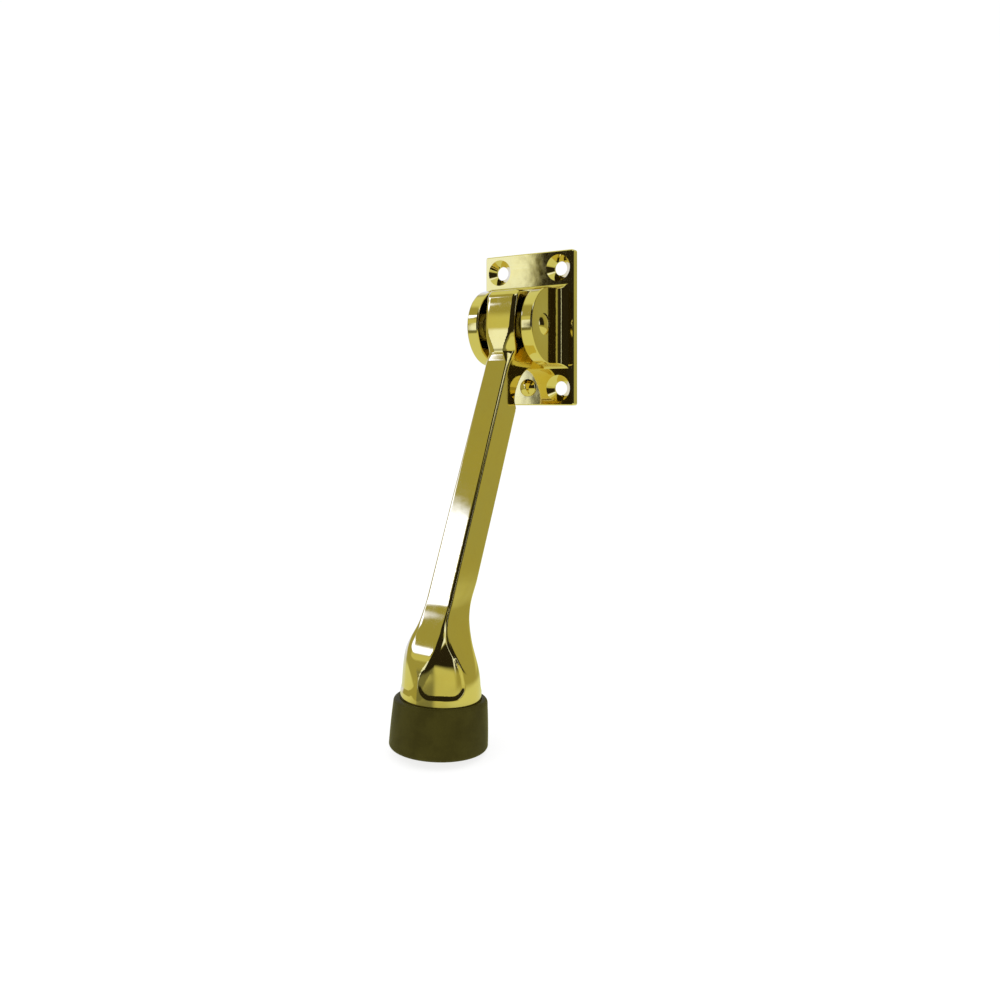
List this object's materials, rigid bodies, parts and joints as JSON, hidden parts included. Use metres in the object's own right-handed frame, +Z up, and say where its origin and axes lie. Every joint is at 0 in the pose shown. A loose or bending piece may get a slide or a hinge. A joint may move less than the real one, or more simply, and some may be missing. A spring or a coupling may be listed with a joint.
{
  "type": "kick-down door holder",
  "caption": "Kick-down door holder: screw-on plate with a clevis, a swinging arm with a sprung cam head, and a rubber-tipped foot that grips the floor.",
  "frame": {"origin": "centre of the mounting plate's back face, which lies on the door", "axes": "+Y into the door, +Z up along the plate's long side, +X to the right seen from the front; the arm swings in the YZ plane"},
  "size_m": [0.0382, 0.0756, 0.1666],
  "materials": {
    "polished_brass": "mirror polished",
    "plain_brass": "turned, plain",
    "spring_steel": "blued, satin",
    "plated_steel": "zinc plated",
    "tip_rubber": "matte, moulded"
  },
  "bodies": {
    "base": {"base_bracket": "polished_brass", "pivot_pin": "polished_brass", "leaf_spring": "spring_steel", "spring_rivet": "polished_brass", "spacer_right": "plain_brass", "spacer_left": "plain_brass"},
    "arm": {"arm": "polished_brass", "pivot_bush": "plain_brass", "rubber_tip": "tip_rubber", "tip_washer": "plated_steel", "tip_screw": "plated_steel"}
  },
  "joints": [
    {"name": "arm_swing", "type": "hinge", "parent": "base", "child": "arm", "pos_m": [0, -0.015, 0.0005], "axis": [-1, 0, 0], "range_deg": [-15, 155]}
  ]
}
